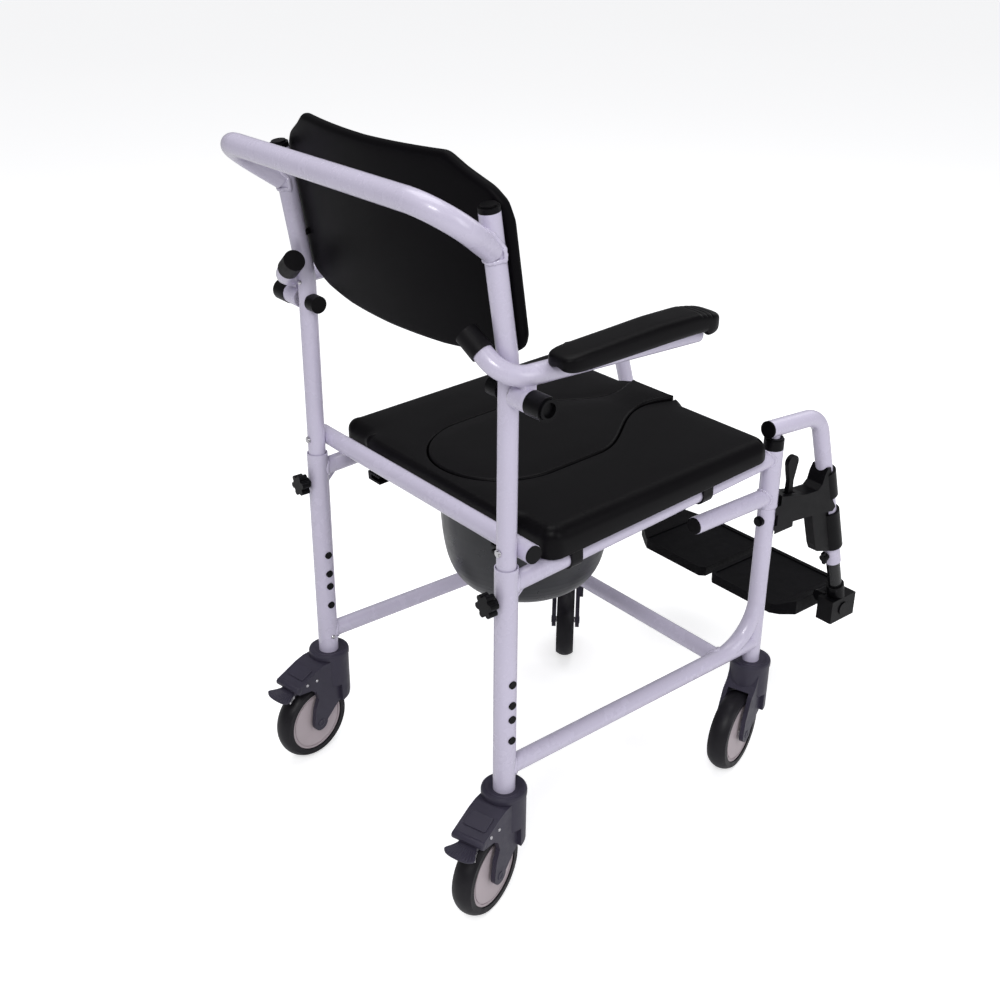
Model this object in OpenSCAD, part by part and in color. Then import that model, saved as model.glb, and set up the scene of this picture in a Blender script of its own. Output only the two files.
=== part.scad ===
// Wheeled commode and shower chair pushed by an attendant.
// Millimetres, +Z up. The sitter faces -Y, so +X is the sitter's left.
// The origin is on the floor under the middle of the whole chair.

/* [Frame] */
// Distance between the rear legs' axes
track = 430; // [420:1:450]
// Distance from the rear legs back to the front legs
wheel_base = 492; // [480:1:510]
// How far each front leg stands inside its rear leg
front_inset = 5; // [0:1:8]
// Outer diameter of the rear legs
leg_d = 30; // [29:0.5:31]
// Outer diameter of the rails, posts and other light tubes
rail_d = 25; // [24:0.5:25.5]
// Wall of every steel tube
wall = 1.5; // [1.2:0.1:2]
// Height of the rear legs' open tops
leg_top = 502; // [498:1:510]
// Height of the lower rails
low_rail_z = 201; // [196:1:206]

/* [Seat] */
// Height of the seat rails' axes at the rear legs
seat_rail_z = 476; // [474:1:478]
// Upward slope of the seat towards the front, in degrees
seat_tilt = 3.8; // [3:0.1:4]
// Width of the seat pad
seat_w = 464; // [450:1:466]
// Thickness of the seat pad at its rear edge
seat_t = 44.5; // [42:0.5:48]
// Width of the opening under the lift-out insert
opening_w = 216; // [200:2:220]

/* [Backrest] */
// Height at which the posts lean back
post_bend_z = 763; // [755:1:768]
// Lean of the upper posts, in degrees
back_lean = 9.2; // [7:0.1:11]
// Length of the leaning part of each post
post_upper = 178; // [175:1:190]
// Height of the armrest hinges
arm_pivot_z = 729; // [726:1:734]

/* [Casters] */
// Wheel diameter
wheel_d = 126; // [122:1:127]
// Width of each tyre
tyre_w = 30; // [26:1:31]
// Distance from a caster's swivel axis back to its wheel axle
trail = 44; // [43:1:46]

/* [Footrests] */
// Forward slope of the hanger tubes from the vertical, in degrees
hanger_lean = 17; // [14:0.5:20]
// Height of the footplates' treads
tread_z = 187; // [184:1:190]

/* [Hidden] */
$fn = 48;

left = 1;
right = -1;
rear_y = 321;                     // the rear legs stand this far behind the origin
half_track = track / 2;
front_x = half_track - front_inset;
front_y = -wheel_base;
leg_r = leg_d / 2;
tube_r = rail_d / 2;
leg_foot_z = 151;                 // the legs end inside the caster collars
front_leg_r = 13;
sleeve_r = 14.5;
sleeve_z0 = 431;
sleeve_z1 = 522;
post_foot_z = 424;                // the posts stand this deep in the rear legs
stub_z = 447;
stub_y = -339;
knob_z = 459;
catch_z = 410;
plug_heights = [253.5, 286, 307.5, 339];
cross_y = -24;
cross_z = 520;
cross_half = 236;
back_bend = 860;                  // radius of the back pad's curve
eps = 0.5;
lap = 1;
hair = 0.05;

// Casters: place, swivel angle at rest, leg radius
rear_left = [half_track, 0, 10, leg_r];
rear_right = [-half_track, 0, 18, leg_r];
front_left = [front_x, front_y, 47, front_leg_r];
front_right = [-front_x, front_y, 17, front_leg_r];
casters = [rear_left, rear_right, front_left, front_right];
fork_top = 162.6;
wheel_r = wheel_d / 2;
axle_r = 5;
hub_r = 48;
fork_half = 24;
running = 0.05;                   // radial clearance of every running fit

// Armrest
hub_x0 = half_track + tube_r + 2;
hub_x1 = hub_x0 + 28;
arm_tube_z = arm_pivot_z + 27;
arm_bolt_r = 5;
arm_rise = 0.9;                   // slope of the arm tube towards the front, in degrees
arm_path = [[264, -252, arm_tube_z + 252 * tan(arm_rise)], [242, 26, arm_tube_z],
    [186, 35, arm_tube_z + 40]];

// Footrest hanger: its tube's corner, its slope and its two ends
hanger_z = 554;
hanger_dir = [0, -sin(hanger_lean), -cos(hanger_lean)];
hanger_corner = [front_x, front_y - 97, hanger_z - 7];
hanger_end = hanger_corner + 280 * hanger_dir;
stem_end = hanger_corner + 355 * hanger_dir;
plate_hinge = [front_x - 24, stem_end[1] - 8, tread_z + 15];

grey_white = [0.86, 0.84, 0.92];
black = [0.06, 0.06, 0.065];
soft_black = [0.04, 0.04, 0.045];
slate = [0.25, 0.235, 0.29];
hub_grey = [0.66, 0.6, 0.61];
pan_grey = [0.23, 0.23, 0.24];
steel = [0.75, 0.75, 0.77];

// ---------- helpers ----------

function unit(v) = v / norm(v);
function seat_z(y) = seat_rail_z - y * tan(seat_tilt);
// Mirrors a point to the chosen side of the chair
function sided(p, s) = [p[0] * s, p[1], p[2]];
function sided_path(path, s) = [for (p = path) sided(p, s)];

module placed() translate([0, rear_y, 0]) children();

// Mirrors a left-hand shape to the chosen side
module on_side(s) if (s > 0) children(); else mirror([1, 0, 0]) children();

// Stands the children's Z axis along d at the point p
module along(p, d) {
    w = unit(d);
    u = unit(cross(abs(w[0]) < 0.9 ? [1, 0, 0] : [0, 1, 0], w));
    v = cross(w, u);
    multmatrix([[u[0], v[0], w[0], p[0]], [u[1], v[1], w[1], p[1]], [u[2], v[2], w[2], p[2]]])
        children();
}

module rod(p, q, r) along(p, q - p) cylinder(h = norm(q - p), r = r);

// A rod of radius r bent at b, between the directions from a and to c
module elbow(a, b, c, bend, r) {
    d1 = unit(b - a);
    d2 = unit(c - b);
    turn = acos(d1 * d2);
    n = unit(d2 - (d1 * d2) * d1);
    centre = b - bend * tan(turn / 2) * d1 + bend * n;
    w = cross(-n, d1);
    multmatrix([[-n[0], d1[0], w[0], centre[0]], [-n[1], d1[1], w[1], centre[1]],
            [-n[2], d1[2], w[2], centre[2]]])
        rotate_extrude(angle = turn) translate([bend, 0]) circle(r = r);
}

// How much a bend takes from the straight stretches beside point i
function setback(path, i, bend) = i == 0 || i == len(path) - 1 ? 0
    : bend * tan(acos(unit(path[i] - path[i - 1]) * unit(path[i + 1] - path[i])) / 2);

// The straights run a lap into each bend, and the bend is a hair thinner, so the pieces fuse
module bent_rod(path, bend, r) {
    last = len(path) - 1;
    for (i = [0:last - 1]) {
        d = unit(path[i + 1] - path[i]);
        start = i == 0 ? 0 : setback(path, i, bend) - lap;
        finish = i == last - 1 ? 0 : setback(path, i + 1, bend) - lap;
        rod(path[i] + start * d, path[i + 1] - finish * d, r);
    }
    for (i = [1:1:last - 1]) elbow(path[i - 1], path[i], path[i + 1], bend, r - hair);
}

// The same path, run out a little past both its ends
function run_out(path) = let (n = len(path) - 1) [for (i = [0:n])
    i == 0 ? path[0] - eps * unit(path[1] - path[0])
    : i == n ? path[n] + eps * unit(path[n] - path[n - 1]) : path[i]];

module bent_tube(path, bend, r) difference() {
    bent_rod(path, bend, r);
    bent_rod(run_out(path), bend, r - wall);
}

// A plate of the given width along X whose outline is drawn in Y and Z
module slab_x(width) rotate([90, 0, 90]) linear_extrude(width, center = true) children();

module rounded_square(w, l, r) {
    square([w - 2 * r, l], center = true);
    square([w, l - 2 * r], center = true);
    for (x = [-1, 1], y = [-1, 1]) translate([x * (w / 2 - r), y * (l / 2 - r)]) circle(r = r);
}

// Puts a shape drawn flat on the sloping seat plane, with z = 0 on the rails' tops
module on_seat() translate([0, 0, seat_rail_z + tube_r / cos(seat_tilt)]) rotate([-seat_tilt, 0, 0])
    children();

// Puts a shape drawn upright at the post bend, leaning back with the posts
module on_back() translate([0, 0, post_bend_z]) rotate([-back_lean, 0, 0]) children();

module at_caster(c) placed() translate([c[0], c[1], 0]) rotate(c[2]) children();

// ---------- main frame ----------

module side_frame(s) {
    rear_foot = [half_track * s, 0, leg_foot_z];
    front_foot = [front_x * s, front_y, leg_foot_z];
    rail_rear = [half_track * s, 0, seat_z(0)];
    rail_front = [front_x * s, front_y, seat_z(front_y)];
    low_rear = [half_track * s, 0, low_rail_z];
    low_front = [front_x * s, front_y, low_rail_z];
    toward_front = unit(low_front - low_rear);
    stub_rear = [front_x * s, stub_y, stub_z];
    placed() color(grey_white) difference() {
        union() {
            rod(rear_foot, [half_track * s, 0, leg_top], leg_r);
            rod(front_foot, [front_x * s, front_y, sleeve_z1], front_leg_r);
            rod([front_x * s, front_y, sleeve_z0], [front_x * s, front_y, sleeve_z1], sleeve_r);
            rod(rail_rear, rail_front, tube_r);
            rod(low_rear, low_front, tube_r);
            rod(stub_rear, [front_x * s, front_y, stub_z], tube_r);
            elbow(low_rear, low_front, low_front + [0, 0, 200], 78, tube_r);
            // Web below the seat rail where it meets the rear leg
            translate([half_track * s, 0, seat_z(0)]) slab_x(4)
                polygon([[-leg_r + 2, 0], [-leg_r - 24, 0], [-leg_r + 2, -26]]);
        }
        rod([half_track * s, 0, leg_foot_z - 1], [half_track * s, 0, leg_top + 1], leg_r - wall);
        rod(front_foot - [0, 0, 1], [front_x * s, front_y, 460], front_leg_r - wall);
        rod([front_x * s, front_y, 460], [front_x * s, front_y, sleeve_z1 + 1], 12.8);
        rod(rail_rear + leg_r * toward_front, rail_front - sleeve_r * toward_front, tube_r - wall);
        rod(low_rear + leg_r * toward_front, low_front - 70 * toward_front, tube_r - wall);
        rod(stub_rear + [0, 1, 0], [front_x * s, front_y + sleeve_r, stub_z], tube_r - wall);
        for (z = plug_heights)
            rod([(half_track - 20) * s, 0, z], [(half_track + 20) * s, 0, z], 4);
        // Bore of the knob's stud and of the front catch bolt
        rod([half_track * s, 0, knob_z], [half_track * s, 20, knob_z], 3.2);
        rod([front_x * s, front_y - 20, catch_z], [front_x * s, front_y + 20, catch_z], 3);
    }
}

module frame_crossbars() placed() color(grey_white) {
    low_y = -416;
    low_x = half_track - front_inset * -low_y / wheel_base;
    seat_y = -440;
    seat_x = half_track - front_inset * -seat_y / wheel_base;
    difference() {
        rod([-low_x, low_y, low_rail_z], [low_x, low_y, low_rail_z], tube_r - 0.3);
        rod([-low_x - 1, low_y, low_rail_z], [low_x + 1, low_y, low_rail_z], tube_r - wall);
        for (s = [left, right])
            rod([half_track * s, 0, low_rail_z], [front_x * s, front_y, low_rail_z], tube_r);
    }
    difference() {
        rod([-seat_x, seat_y, seat_z(seat_y) - 2], [seat_x, seat_y, seat_z(seat_y) - 2], 10);
        rod([-seat_x - 1, seat_y, seat_z(seat_y) - 2], [seat_x + 1, seat_y, seat_z(seat_y) - 2], 10 - wall);
        for (s = [left, right])
            rod([half_track * s, 0, seat_z(0)], [front_x * s, front_y, seat_z(front_y)], tube_r);
    }
}

// Plugs in the spare holes of the rear legs and in the stub tubes' ends
module frame_plugs() placed() color(black) for (s = [left, right]) {
    for (z = plug_heights, side = [-1, 1]) difference() {
        union() {
            rod([half_track * s + side * 10, 0, z], [half_track * s + side * 15, 0, z], 4);
            rod([half_track * s + side * 13, 0, z], [half_track * s + side * 16.2, 0, z], 5.5);
        }
        difference() {
            rod([half_track * s, 0, z - 8], [half_track * s, 0, z + 8], leg_r);
            rod([half_track * s - 20, 0, z], [half_track * s + 20, 0, z], 4);
        }
    }
    rod([front_x * s, stub_y - 14, stub_z], [front_x * s, stub_y + 1.5, stub_z], tube_r - wall);
    rod([front_x * s, stub_y + hair, stub_z], [front_x * s, stub_y + 2, stub_z], tube_r - 0.7);
}

// Bushes in the tops of the front legs, in which the hangers swing
module hanger_bushes() placed() color(black) for (s = [left, right])
    translate([front_x * s, front_y, 0]) difference() {
        union() {
            translate([0, 0, 466]) cylinder(h = sleeve_z1 - 466, r = 12.8);
            translate([0, 0, sleeve_z1]) cylinder(h = 15, r = sleeve_r);
            translate([0, 0, sleeve_z1 + 15]) cylinder(h = 2.3, r = sleeve_r - 1.5);
        }
        translate([0, 0, 460]) cylinder(h = 90, r = 8 + running);
    }

// Bolts through the front legs: a capped nut behind, the hanger's catch in front
module hanger_catch_bolts() placed() color(black) for (s = [left, right])
    translate([front_x * s, front_y, catch_z]) rotate([90, 0, 0]) {
        difference() {
            union() {
                translate([0, 0, -17]) cylinder(h = 6, r = 7.5);
                translate([0, 0, -20]) cylinder(h = 3, r = 5.5);
            }
            rotate([-90, 0, 0]) translate([0, 0, -20]) cylinder(h = 40, r = front_leg_r);
        }
        translate([0, 0, -15]) cylinder(h = 42, r = 3);
        translate([0, 0, 23]) cylinder(h = 4, r = 5);
    }

// ---------- seat ----------

// Half width of the keyhole opening at y: round behind, a neck that flares at the front
function keyhole_half(y) = let (r = opening_w / 2 - 4)
    y > -172 ? sqrt(max(0, r * r - (y + 172) * (y + 172)))
    : y > -255 ? r
    : y > -415 ? 30 + (r - 30) * (1 + cos(180 * (-255 - y) / 160)) / 2
    : 30 + 7 * (1 - cos(180 * min(1, (-415 - y) / 55)));

module keyhole(grow) {
    rear = -172 + opening_w / 2 - 4;
    ys = concat([for (a = [0:9:81]) -172 + (rear + 172) * cos(a)], [-172, -215, -255],
        [for (i = [1:10]) -255 - 16 * i], [-433, -451, -470, -500]);
    side = [for (y = ys) [keyhole_half(y) + grow * (y > -172 ? (1 + (y + 172) / (rear + 172)) / 2 : 1),
        y + (y > -172 ? grow * (y + 172) / (rear + 172) : 0)]];
    polygon(concat([for (p = side) [max(p[0], 0.5), p[1]]],
        [for (i = [len(side) - 1:-1:0]) [-max(side[i][0], 0.5), side[i][1]]]));
}

module seat_outline(inset) translate([0, -257])
    rounded_square(seat_w - 2 * inset, 418 - 2 * inset, 26 - inset);

// Space under the seat's top face, which slopes a little less than the rails
module under_seat_top(drop) translate([0, 0, seat_t - drop]) rotate([1.4, 0, 0])
    translate([-300, -600, -90]) cube([600, 700, 90]);

// Moulded pad with a step between the rails, cut out for the pan and the insert
module seat_pad() placed() color(soft_black) on_seat() difference() {
    union() {
        for (e = [[0, 12], [4, 5], [10, 0]]) intersection() {
            translate([0, 0, 2]) linear_extrude(60) seat_outline(e[0]);
            under_seat_top(e[1]);
        }
        translate([0, -239, -10]) linear_extrude(16) rounded_square(386, 376, 12);
    }
    translate([0, 0, 16]) linear_extrude(seat_t) keyhole(0);
    translate([0, 0, -12]) linear_extrude(seat_t) keyhole(-14);
}

// The insert fills the opening and rests on its ledge
module seat_insert() placed() color(soft_black) on_seat() intersection() {
    union() {
        translate([0, 0, 16.1]) linear_extrude(seat_t) keyhole(-0.6);
        translate([0, 0, -4]) linear_extrude(25) keyhole(-14.6);
    }
    translate([-150, -463, -20]) cube([300, 420, 100]);
    under_seat_top(-2);
}

// Clips under the seat pad that snap round the seat rails
module seat_clips() placed() color(black) for (s = [left, right], y = [-104, -343]) {
    x = half_track - front_inset * -y / wheel_base;
    translate([x * s, y, seat_z(y)]) rotate([-seat_tilt, 0, 0]) rotate([90, 0, 0])
        translate([0, 0, -9]) difference() {
            union() {
                cylinder(h = 18, r = tube_r + 3);
                translate([-tube_r - 3, 0, 0]) cube([2 * tube_r + 6, tube_r + 0.3, 18]);
            }
            translate([0, 0, -1]) cylinder(h = 20, r = tube_r + 0.15);
            translate([-30, tube_r + 0.1, -1]) cube([60, 10, 20]);
            translate([-s * 12 - 10, -40, -1]) cube([20, 36, 20]);
        }
}

// Rails under the seat in which the pan's rim slides
module pan_rails() placed() color(black) on_seat() for (s = [left, right])
    translate([s * 141, -196, -16.6]) difference() {
        cube([28, 300, 13], center = true);
        translate([-s * 8, 6, 0.2]) cube([28, 300, 6], center = true);
    }

// Bucket shape: a superellipse in section
function bucket(r, depth, n) = [for (t = [0:5:90]) [r * pow(sin(t), 2 / n), -depth * pow(cos(t), 2 / n)]];

module commode_pan() placed() color(pan_grey) on_seat() translate([0, -206, -14.6]) difference() {
    union() {
        rotate_extrude($fn = 64) polygon(concat(bucket(120.5, 172, 4.3), [[0, 0]]));
        translate([0, 0, -4]) cylinder(h = 4, r = 134);
    }
    translate([0, 0, 4]) rotate_extrude($fn = 64) polygon(concat(bucket(117.5, 173, 4.3), [[0, 0]]));
}

// ---------- backrest ----------

function post_path(s) = [[half_track * s, 0, post_foot_z], [half_track * s, 0, post_bend_z],
    [half_track * s, post_upper * sin(back_lean), post_bend_z + post_upper * cos(back_lean)]];

// Posts with the cross tube welded to their fronts
module back_posts() placed() color(grey_white) difference() {
    union() {
        for (s = [left, right]) bent_rod(post_path(s), 120, tube_r);
        rod([-cross_half, cross_y, cross_z], [cross_half, cross_y, cross_z], tube_r);
    }
    for (s = [left, right]) {
        bent_rod(run_out(post_path(s)), 120, tube_r - wall);
        rod([(half_track - 20) * s, 0, arm_pivot_z], [(half_track + 20) * s, 0, arm_pivot_z], arm_bolt_r);
        rod([half_track * s, 0, cross_z + 5], [half_track * s, 20, cross_z + 5], 2.5);
    }
    rod([-cross_half - 1, cross_y, cross_z], [cross_half + 1, cross_y, cross_z], tube_r - wall);
}

// Push bar: rises backwards from the posts and crosses behind them
module push_bar() placed() color(grey_white) {
    post = post_path(left);
    corner = [240, 108, 956];
    root = post[1] + 132 * unit(post[2] - post[1]);
    start = root + 7 * unit(corner - root);
    path = [start, corner, sided(corner, right), sided(start, right)];
    difference() {
        bent_rod(path, 50, 14);
        bent_rod(run_out(path), 50, 12);
        for (s = [left, right]) rod(sided(post[1], s), sided(post[2], s), tube_r);
    }
}

// Half of the pad's outline from the middle of its foot to the middle of its top, drawn in by inset
function back_half(inset) = [for (p = [[0, -9], [100, -8], [165, -4], [208, 4], [221, 12], [226, 26],
    [226, 160], [220, 182], [205, 197], [170, 215], [146, 230], [0, 228]])
    [p[0] * (1 - inset / 226), 110 + (p[1] - 110) * (1 - inset / 119)]];

module back_outline(inset) {
    half = back_half(inset);
    polygon(concat(half, [for (i = [len(half) - 2:-1:1]) [-half[i][0], half[i][1]]]));
}

// A slice of the pad between two radii of its curve, which bulges back between the posts
module back_layer(outer, inner, inset) intersection() {
    translate([0, 30, 0]) rotate([90, 0, 0]) linear_extrude(120) back_outline(inset);
    translate([0, 13 - back_bend, -20]) difference() {
        cylinder(h = 270, r = outer, $fn = 360);
        translate([0, 0, -1]) cylinder(h = 272, r = inner, $fn = 360);
    }
}

module back_pad() placed() color(soft_black) on_back() {
    back_layer(back_bend, back_bend - 12, 0);
    back_layer(back_bend - 8, back_bend - 27, 12);
    // Stand-offs between the posts and the pad
    for (s = [left, right], u = [62, 158]) difference() {
        translate([s * half_track, -22, u]) rotate([-90, 0, 0]) cylinder(h = 14, r = 9);
        translate([s * half_track, 0, u - 20]) cylinder(h = 40, r = tube_r);
    }
}

// Steel fasteners of the back: hinge bolts, their washers and the post screws
module back_bolts() placed() color(steel) for (s = [left, right]) {
    rod([(half_track - 21) * s, 0, arm_pivot_z], [(hub_x1 + 8) * s, 0, arm_pivot_z], arm_bolt_r);
    difference() {
        rod([(hub_x0 - 1.9) * s, 0, arm_pivot_z], [(hub_x0 - 0.3) * s, 0, arm_pivot_z], 13);
        rod([(hub_x0 - 5) * s, 0, arm_pivot_z], [(hub_x0 + 5) * s, 0, arm_pivot_z], arm_bolt_r + 0.3);
    }
    rod([half_track * s, 8, cross_z + 5], [half_track * s, 14, cross_z + 5], 2.5);
    rod([half_track * s, 12.6, cross_z + 5], [half_track * s, 14.6, cross_z + 5], 5);
    rod([half_track * s, 14.6, cross_z + 5], [half_track * s, 15.8, cross_z + 5], 3.6);
}

// Black caps on the posts' tops, the cross tube's ends and the hinge bolts' nuts
module back_caps() placed() color(black) for (s = [left, right]) {
    top = post_path(s)[2];
    lean = unit(top - post_path(s)[1]);
    along(top, lean) {
        translate([0, 0, -15]) cylinder(h = 15, r = tube_r - wall);
        cylinder(h = 6, r = tube_r);
        translate([0, 0, 6]) cylinder(h = 2.5, r = tube_r - 3);
    }
    rod([(cross_half - 16) * s, cross_y, cross_z], [(cross_half + 1.5) * s, cross_y, cross_z],
        tube_r - wall);
    rod([(cross_half + hair) * s, cross_y, cross_z], [(cross_half + 2) * s, cross_y, cross_z],
        tube_r - 0.7);
    difference() {
        rod([(half_track - 28) * s, 0, arm_pivot_z], [(half_track - 10) * s, 0, arm_pivot_z], 12);
        rod([half_track * s, 0, arm_pivot_z - 20], [half_track * s, 0, arm_pivot_z + 20], tube_r);
        rod([(half_track - 21) * s, 0, arm_pivot_z], [half_track * s, 0, arm_pivot_z], arm_bolt_r);
    }
}

module star_knob(s) placed() color(black) translate([half_track * s, leg_r, knob_z]) rotate([-90, 0, 0]) {
    translate([0, 0, 3]) cylinder(h = 5, r = 8);
    translate([0, 0, 8]) union() {
        cylinder(h = 13, r = 11.5);
        for (a = [0:60:300]) rotate(a + 15) translate([11.5, 0, 0]) cylinder(h = 13, r = 4.5);
    }
    translate([0, 0, -0.8]) cylinder(h = 4.8, r = 3);
}

// ---------- armrests ----------

module arm_tube(s) placed() color(grey_white) on_side(s) difference() {
    union() {
        bent_rod(arm_path, 40, tube_r);
        rod([hub_x0, 0, arm_pivot_z], [hub_x1, 0, arm_pivot_z], 14);
        // Weld between the hub and the tube
        translate([(hub_x0 + hub_x1) / 2, -3, arm_pivot_z + 16]) cube([15, 16, 12], center = true);
    }
    bent_rod(run_out(arm_path), 40, tube_r - wall);
    rod([hub_x0 - 1, 0, arm_pivot_z], [hub_x1 + 1, 0, arm_pivot_z], arm_bolt_r + running);
}

module arm_pad(s) placed() color(soft_black) on_side(s) difference() {
    translate([268, -147, arm_tube_z + 11]) rotate([-1.2, 0, 0]) union() {
        linear_extrude(19) rounded_square(48, 248, 18);
        translate([0, 0, 19]) linear_extrude(8) rounded_square(40, 240, 14);
        // Lip down over the tube's front end
        translate([0, -115, -6]) linear_extrude(7) rounded_square(44, 18, 8);
    }
    bent_rod(run_out(arm_path), 40, tube_r);
}

module arm_hub_cap(s) placed() color(black) on_side(s) difference() {
    union() {
        rod([hub_x1, 0, arm_pivot_z], [hub_x1 + 26, 0, arm_pivot_z], 15);
        rod([hub_x1 + 26, 0, arm_pivot_z], [hub_x1 + 29, 0, arm_pivot_z], 12.5);
    }
    rod([hub_x1 - 1, 0, arm_pivot_z], [hub_x1 + 9, 0, arm_pivot_z], 8);
    rod([hub_x1 + 24, 0, arm_pivot_z], [hub_x1 + 30, 0, arm_pivot_z], 9);
}

// Rubber sleeve on the arm tube's rear end, which rests against the post
module arm_stop(s) placed() color(black) on_side(s) {
    tip = arm_path[2];
    back = unit(arm_path[1] - tip);
    difference() {
        rod(tip - 3 * back, tip + 27 * back, tube_r + 2);
        rod(tip, tip + 40 * back, tube_r);
    }
}

// ---------- casters ----------

// Collars and stems are fixed in the legs; the forks turn under them
module caster_collars() for (c = casters) at_caster(c) color(slate)
    rotate_extrude() polygon([[6, 147], [24, 147], [24, fork_top + 0.4], [31, fork_top + 0.4],
        [31, 168], [30.2, 170.6], [28, 172], [25, 172], [21, 170.4], [c[3], 169.6],
        [c[3], leg_foot_z], [6, leg_foot_z]]);

module caster_stems() for (c = casters) at_caster(c) color(steel) {
    translate([0, 0, 120]) cylinder(h = 40, r = 6);
    translate([0, 0, leg_foot_z]) cylinder(h = 50, r = c[3] - wall);
}

// Side plates, from the front lip round the axle to the hood
plate_front = [[-17, fork_top - 0.5], [-17, 104], [-12, 92], [2, 87], [13, 79], [trail - 13, wheel_r]];
plate_rear = [[trail + 13, wheel_r + 4], [trail + 9, 92], [trail + 2, 108]];
hood = [[50, 122], [60, 130], [84, 134], [88, 139], [84, 145], [72, 149.5], [48, 158.5], [32, fork_top - 0.5]];
no_hood = [[38, 126], [26, 138], [16, fork_top - 0.5]];

module fork(c, braked) at_caster(c) color(slate) difference() {
    union() {
        // Crown with a lip down in front of the wheel
        intersection() {
            translate([0, 0, 80]) cylinder(h = fork_top - 80, r = 30);
            slab_x(62) polygon([[-31, fork_top + 1], [-31, 110], [-26, 98], [-14, 90], [3, 86],
                [3, 116], [31, 116], [31, fork_top + 1]]);
        }
        slab_x(2 * fork_half) {
            polygon(concat(plate_front, plate_rear, braked ? hood : no_hood));
            translate([trail, wheel_r]) circle(r = 13);
        }
    }
    rod([-17, trail, wheel_r], [17, trail, wheel_r], wheel_r + 4);
    translate([0, 0, 100]) cylinder(h = 60, r = 6 + running);
    translate([0, 0, 146.6]) cylinder(h = 30, r = 24.4);
    rod([-22, trail, wheel_r], [22, trail, wheel_r], axle_r);
    if (braked) {
        // Room for the pedal under the hood, and the holes for its trunnions
        translate([-15, 60, 110]) cube([30, 40, 32]);
        rod([-18, 69, 135], [18, 69, 135], 2.5 + running);
        // Square recess on the hood
        translate([0, 60, 152.7]) rotate([-20.5, 0, 0]) cube([33, 25, 2], center = true);
    }
}

module tyre(c) at_caster(c) color(soft_black) translate([0, trail, wheel_r]) rotate([0, 90, 0])
    rotate_extrude($fn = 96) difference() {
        union() {
            translate([hub_r, -tyre_w / 2 + 2]) square([wheel_r - hub_r - 9, tyre_w - 4]);
            translate([wheel_r - 10, 0]) intersection() {
                translate([-4, -tyre_w / 2]) square([14, tyre_w]);
                translate([-12, 0]) circle(r = 22, $fn = 96);
            }
        }
        translate([hub_r - 1, -1.5]) square([3, 3]);
    }

module wheel_hub(c) at_caster(c) color(hub_grey) translate([0, trail, wheel_r]) rotate([0, 90, 0])
    rotate_extrude($fn = 96) {
        half = tyre_w / 2 - 2;
        difference() {
            translate([axle_r + running, -half]) square([hub_r - axle_r - running, 2 * half]);
            for (m = [-1, 1]) translate([hub_r - 4, m * half]) square([1.6, 3], center = true);
        }
        translate([hub_r - 0.5, -1.5]) square([2.5, 3]);
    }

module axle(c) at_caster(c) color(steel) rod([-22, trail, wheel_r], [22, trail, wheel_r], axle_r);

// Foot pedal of a rear caster, hung on two trunnions under the hood
module brake_pedal(c) at_caster(c) color(slate) {
    rod([-17.5, 69, 135], [17.5, 69, 135], 2.5);
    rod([-14.4, 69, 135], [14.4, 69, 135], 5.5);
    slab_x(28.8) polygon([[66, 130.5], [90, 127], [90, 132.5], [69, 140]]);
    translate([0, 89, 127.2]) rotate([-8, 0, 0]) linear_extrude(5.5)
        polygon([[-14, -3], [14, -3], [22, 1], [27, 18], [14, 23], [-14, 23], [-27, 18], [-22, 1]]);
}

// ---------- footrests ----------

module hanger_tube(s) placed() color(grey_white) on_side(s) {
    path = [[front_x, front_y + 14, hanger_z], hanger_corner, hanger_end];
    difference() {
        union() {
            bent_rod(path, 42, tube_r);
            rod([front_x, front_y, 472], [front_x, front_y, hanger_z], 8);
        }
        bent_rod(run_out(path), 42, tube_r - wall);
    }
}

// Moulded bracket clamped on the hanger tube, with its arm hooked to the front leg
module hanger_bracket(s) placed() color(black) on_side(s) {
    difference() {
        union() {
            for (t = [[100, 146], [176, 246]])
                rod(hanger_corner + t[0] * hanger_dir, hanger_corner + t[1] * hanger_dir, 17);
            // Arm to the front leg, covering the tube's sides
            translate([front_x, front_y, 0]) slab_x(29) polygon([[-3, 449], [-39, 440], [-71, 433],
                [-97, 431], [-106, 438], [-110, 452], [-116, 462], [-122, 462], [-130, 438],
                [-132, 420], [-138, 402], [-146, 390], [-140, 384], [-96, 391], [-46, 396],
                [-46, 388], [-3, 388]]);
            // Rib down the back of the lower clamp
            translate([front_x, front_y, 0]) slab_x(17) polygon([[-97, 394], [-103, 372], [-116, 330],
                [-122, 318], [-160, 306], [-166, 316], [-146, 390]]);
        }
        rod(hanger_corner, hanger_end, tube_r);
        // Saddle round the front leg, and a slot that lets the catch bolt in from the middle
        translate([front_x, front_y, 360]) cylinder(h = 120, r = sleeve_r + 0.7);
        translate([front_x, front_y, 432]) cylinder(h = 40, r = sleeve_r + 5.5);
        translate([front_x - 40, front_y - 31, catch_z - 7]) cube([47, 31, 14]);
        translate([front_x + 5, front_y - 9.5, catch_z - 8.7]) cube([12, 9.5, 17.4]);
        // Slot and pin holes of the release lever
        translate([front_x - 4, front_y - 58, 424]) cube([8, 24, 30]);
        rod([front_x - 8.5, front_y - 46, 432], [front_x + 8.5, front_y - 46, 432], 2.5 + running);
    }
    // Plug in the hanger tube's end
    tube_end = [front_x, front_y + 14, hanger_z];
    back = unit(tube_end - hanger_corner);
    rod(tube_end - 12 * back, tube_end + 1.5 * back, tube_r - wall);
    rod(tube_end + hair * back, tube_end + 2.5 * back, tube_r);
}

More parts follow.
